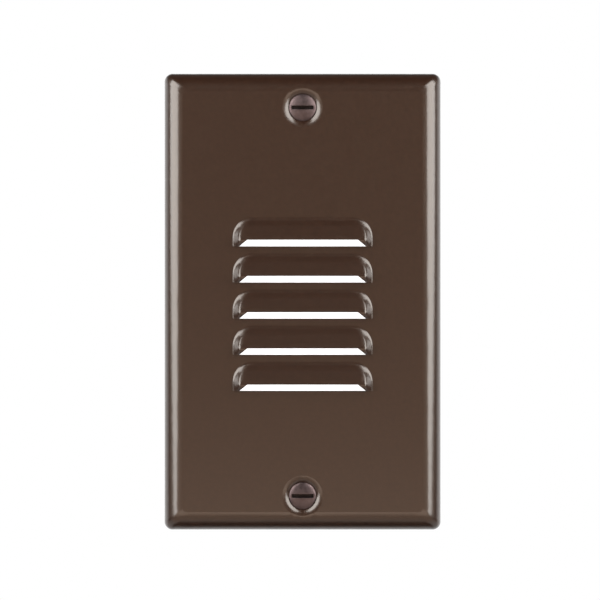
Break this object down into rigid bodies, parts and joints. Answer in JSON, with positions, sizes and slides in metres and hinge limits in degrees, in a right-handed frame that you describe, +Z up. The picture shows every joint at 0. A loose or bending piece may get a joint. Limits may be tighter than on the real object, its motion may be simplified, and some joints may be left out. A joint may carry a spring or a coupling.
{
  "type": "step light",
  "caption": "Louvred rectangular step light for a one-gang wall box: pressed bronze faceplate on captive screws, steel strap, sealed LED case with frosted lens and driver.",
  "frame": {"origin": "centre of the faceplate, on the wall surface", "axes": "+Z up, +X to the viewer's right, +Y into the wall; the faceplate looks along -Y"},
  "size_m": [0.0692, 0.0421, 0.1142],
  "materials": {
    "plate_coat": "satin dark bronze powder coat",
    "plate_screw_finish": "satin bronze-tinted plating",
    "nylon": "natural nylon",
    "foam": "closed-cell foam",
    "zinc_strap": "galvanised sheet",
    "zinc_screws": "bright zinc plating",
    "vulcan_fibre": "dull red fibre",
    "green_screw": "green dyed zinc plating",
    "case_moulding": "fine moulded texture",
    "silicone": "soft matt silicone",
    "cover_moulding": "fine moulded texture",
    "terminal_brass": "stamped, plain",
    "nickel_screw": "nickel plating",
    "opal_lens": "frosted white polycarbonate",
    "white_reflector": "smooth bright white",
    "white_board": "white solder mask",
    "phosphor": "clear silicone over phosphor",
    "thermal_rubber": "soft matt",
    "spreader_aluminium": "mill finish",
    "standoff_brass": "turned",
    "green_board": "green solder mask",
    "capacitor_can": "shrunk dark sleeve",
    "ferrite": "dull sintered",
    "enamelled_copper": "glossy enamel",
    "film_box": "smooth moulded box",
    "black_epoxy": "fine matt",
    "varistor_coat": "dipped epoxy",
    "resistor_coat": "matt cement",
    "pin_brass": "tin over brass"
  },
  "bodies": {
    "fixture": {"board_standoffs": "standoff_brass", "box_screw_retainers": "vulcan_fibre", "box_screws": "zinc_screws", "bridge_rectifier": "black_epoxy", "bulk_capacitor": "capacitor_can", "case": "case_moulding", "cover_screws": "zinc_screws", "cover_seal": "silicone", "diffuser_lens": "opal_lens", "driver_board": "green_board", "driver_board_screws": "zinc_screws", "driver_chip": "black_epoxy", "film_capacitor": "film_box", "fuse_resistor": "resistor_coat", "ground_screw": "green_screw", "heat_spreader": "spreader_aluminium", "inductor_core": "ferrite", "inductor_winding": "enamelled_copper", "led_board": "white_board", "led_packages": "phosphor", "lens_gasket": "silicone", "line_terminal": "terminal_brass", "line_terminal_screw": "terminal_brass", "link_pins": "pin_brass", "mounting_strap": "zinc_strap", "neutral_terminal": "terminal_brass", "neutral_terminal_screw": "nickel_screw", "rear_cover": "cover_moulding", "reflector": "white_reflector", "spreader_screws": "zinc_screws", "strap_screws": "zinc_screws", "thermal_pad": "thermal_rubber", "varistor": "varistor_coat"},
    "cover_plate": {"faceplate": "plate_coat", "wall_gasket": "foam", "plate_screw_retainers": "nylon"},
    "screw_top": {"plate_screw_top": "plate_screw_finish"},
    "screw_bottom": {"plate_screw_bottom": "plate_screw_finish"}
  },
  "joints": [
    {"name": "plate_screw_top_turn", "type": "hinge", "parent": "cover_plate", "child": "screw_top", "pos_m": [0, -0.005, 0.04842], "axis": [0, -1, 0], "range_deg": [0, 4050]},
    {"name": "plate_screw_bottom_turn", "type": "hinge", "parent": "cover_plate", "child": "screw_bottom", "pos_m": [0, -0.005, -0.04842], "axis": [0, -1, 0], "range_deg": [0, 4050]},
    {"name": "faceplate_draw_off", "type": "slide", "parent": "fixture", "child": "cover_plate", "axis": [0, -1, 0], "range_m": [0, 0.00893]}
  ],
  "couplings": [
    {"joint": "plate_screw_bottom_turn", "follows": "faceplate_draw_off", "rad_per_m": 7915.8},
    {"joint": "plate_screw_top_turn", "follows": "faceplate_draw_off", "rad_per_m": 7915.8}
  ]
}
